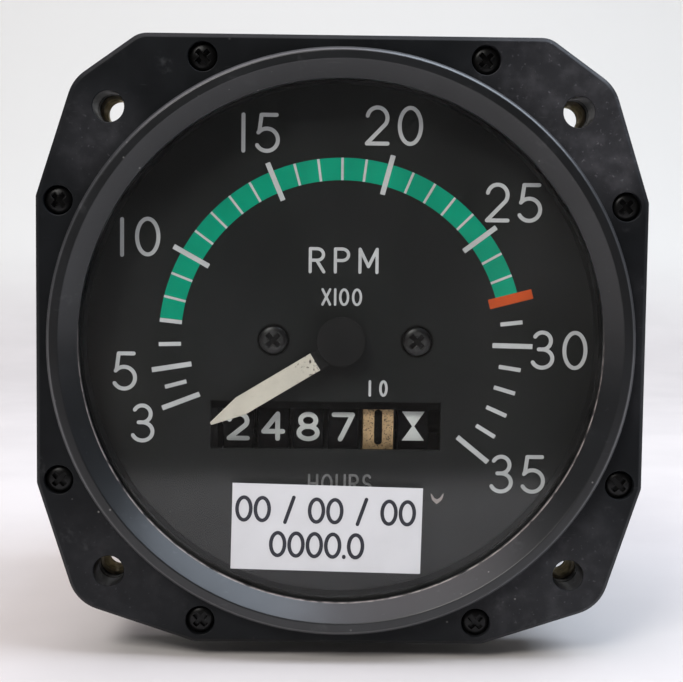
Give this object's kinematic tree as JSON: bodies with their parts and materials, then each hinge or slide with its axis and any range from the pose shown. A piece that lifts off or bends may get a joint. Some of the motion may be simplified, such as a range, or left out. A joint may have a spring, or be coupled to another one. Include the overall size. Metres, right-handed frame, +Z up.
{
  "type": "aircraft tachometer",
  "caption": "Panel-mounted mechanical tachometer: square flange, round glazed dial with a drag-cup pointer and an hour counter, and a cable-driven magnet in a round case.",
  "frame": {"origin": "on the dial axis, at the front face of the flange that seats against the panel", "axes": "+X to the right seen from the front, +Y into the panel towards the cable, +Z up"},
  "size_m": [0.0826, 0.0828, 0.0826],
  "materials": {
    "black_moulding": "satin moulded",
    "black_screw": "black oxide",
    "seal_rubber": "matte",
    "clear_glass": "clear",
    "label_paper": "coated",
    "ring_black": "matte",
    "dial_paint": "matte",
    "brass": "machined",
    "neck_brass": "dull machined",
    "plate_alloy": "blanked",
    "steel": "turned",
    "pointer_cream": "matte paint",
    "pointer_black": "matte paint",
    "jewel": "polished",
    "magnet_grey": "ground",
    "spring_bronze": "rolled",
    "drum_black": "matte moulded",
    "drum_cream": "aged matte"
  },
  "bodies": {
    "housing": {"bezel": "black_moulding", "bezel_screws": "black_screw", "glass_seal": "seal_rubber", "cover_glass": "clear_glass", "service_label": "label_paper", "spacer_ring": "ring_black", "dial": "dial_paint", "dial_screws": "black_screw", "case": "black_moulding", "mount_inserts": "brass", "front_plate": "plate_alloy", "mid_plate": "plate_alloy", "rear_plate": "plate_alloy", "tie_screws": "black_screw", "spacer_sleeves": "brass", "front_jewel": "jewel", "mid_jewel": "jewel", "field_ring": "steel", "spring_stud": "brass", "front_bush": "brass", "rear_bush": "brass", "cable_neck": "neck_brass", "neck_nut": "steel", "cross_brackets": "plate_alloy", "counter_shaft": "steel", "counter_brackets": "ring_black", "carrier_rod": "ring_black", "pinion_carriers": "plate_alloy"},
    "pointer": {"pointer": "pointer_cream", "pointer_hub": "pointer_black", "pointer_staff": "steel", "drag_cup": "plate_alloy", "spring_collet": "brass", "hairspring": "spring_bronze"},
    "drive": {"drive_shaft": "steel", "drive_worm": "steel", "magnet": "magnet_grey"},
    "cross": {"cross_shaft": "steel", "cross_wheel": "brass", "cross_worm": "steel"},
    "lay": {"lay_shaft": "steel", "lay_wheel": "brass", "lay_worm": "steel"},
    "running": {"drum_running": "drum_black", "counter_wheel": "brass"},
    "tenths": {"drum_tenths": "drum_cream"},
    "units": {"drum_units": "drum_black"},
    "tens": {"drum_tens": "drum_black"},
    "hundreds": {"drum_hundreds": "drum_black"},
    "thousands": {"drum_thousands": "drum_black"},
    "tenths_pinion": {"pinion_tenths": "steel"},
    "units_pinion": {"pinion_units": "steel"},
    "tens_pinion": {"pinion_tens": "steel"},
    "hundreds_pinion": {"pinion_hundreds": "steel"},
    "thousands_pinion": {"pinion_thousands": "steel"}
  },
  "joints": [
    {"name": "pointer_swing", "type": "hinge", "parent": "housing", "child": "pointer", "pos_m": [0, 0, 0], "axis": [0, 1, 0], "range_deg": [0, 256], "stiffness_Nm_per_rad": 0.00002, "springref_deg": -57.3, "deforming": ["hairspring"]},
    {"name": "drive_spin", "type": "hinge", "parent": "housing", "child": "drive", "pos_m": [0, 0, 0], "axis": [0, 1, 0], "continuous": true},
    {"name": "cross_spin", "type": "hinge", "parent": "housing", "child": "cross", "pos_m": [0, 0.05193, -0.01035], "axis": [1, 0, 0], "continuous": true},
    {"name": "lay_spin", "type": "hinge", "parent": "housing", "child": "lay", "pos_m": [0.01623, 0, -0.02125], "axis": [0, 1, 0], "continuous": true},
    {"name": "running_turn", "type": "hinge", "parent": "housing", "child": "running", "pos_m": [0, 0.0183, -0.012], "axis": [1, 0, 0], "continuous": true},
    {"name": "tenths_turn", "type": "hinge", "parent": "housing", "child": "tenths", "pos_m": [0, 0.0183, -0.012], "axis": [1, 0, 0], "continuous": true},
    {"name": "units_turn", "type": "hinge", "parent": "housing", "child": "units", "pos_m": [0, 0.0183, -0.012], "axis": [1, 0, 0], "continuous": true},
    {"name": "tens_turn", "type": "hinge", "parent": "housing", "child": "tens", "pos_m": [0, 0.0183, -0.012], "axis": [1, 0, 0], "continuous": true},
    {"name": "hundreds_turn", "type": "hinge", "parent": "housing", "child": "hundreds", "pos_m": [0, 0.0183, -0.012], "axis": [1, 0, 0], "continuous": true},
    {"name": "thousands_turn", "type": "hinge", "parent": "housing", "child": "thousands", "pos_m": [0, 0.0183, -0.012], "axis": [1, 0, 0], "continuous": true},
    {"name": "tenths_pinion_turn", "type": "hinge", "parent": "housing", "child": "tenths_pinion", "pos_m": [0, 0.02201, -0.00829], "axis": [1, 0, 0], "continuous": true},
    {"name": "units_pinion_turn", "type": "hinge", "parent": "housing", "child": "units_pinion", "pos_m": [0, 0.02201, -0.00829], "axis": [1, 0, 0], "continuous": true},
    {"name": "tens_pinion_turn", "type": "hinge", "parent": "housing", "child": "tens_pinion", "pos_m": [0, 0.02201, -0.00829], "axis": [1, 0, 0], "continuous": true},
    {"name": "hundreds_pinion_turn", "type": "hinge", "parent": "housing", "child": "hundreds_pinion", "pos_m": [0, 0.02201, -0.00829], "axis": [1, 0, 0], "continuous": true},
    {"name": "thousands_pinion_turn", "type": "hinge", "parent": "housing", "child": "thousands_pinion", "pos_m": [0, 0.02201, -0.00829], "axis": [1, 0, 0], "continuous": true}
  ],
  "couplings": [
    {"joint": "cross_spin", "follows": "drive_spin", "ratio": 0.047619},
    {"joint": "lay_spin", "follows": "drive_spin", "ratio": 0.0021645},
    {"joint": "running_turn", "follows": "drive_spin", "ratio": -0.0001443},
    {"joint": "tenths_turn", "follows": "drive_spin", "ratio": -0.00001443},
    {"joint": "units_turn", "follows": "drive_spin", "ratio": -0.000001443},
    {"joint": "tens_turn", "follows": "drive_spin", "ratio": -0.0000001443},
    {"joint": "hundreds_turn", "follows": "drive_spin", "ratio": -0.00000001443},
    {"joint": "thousands_turn", "follows": "drive_spin", "ratio": -0.000000001443},
    {"joint": "tenths_pinion_turn", "follows": "drive_spin", "ratio": -0.0000481},
    {"joint": "units_pinion_turn", "follows": "drive_spin", "ratio": -0.00000481},
    {"joint": "tens_pinion_turn", "follows": "drive_spin", "ratio": -0.000000481},
    {"joint": "hundreds_pinion_turn", "follows": "drive_spin", "ratio": -0.0000000481},
    {"joint": "thousands_pinion_turn", "follows": "drive_spin", "ratio": -0.00000000481}
  ]
}
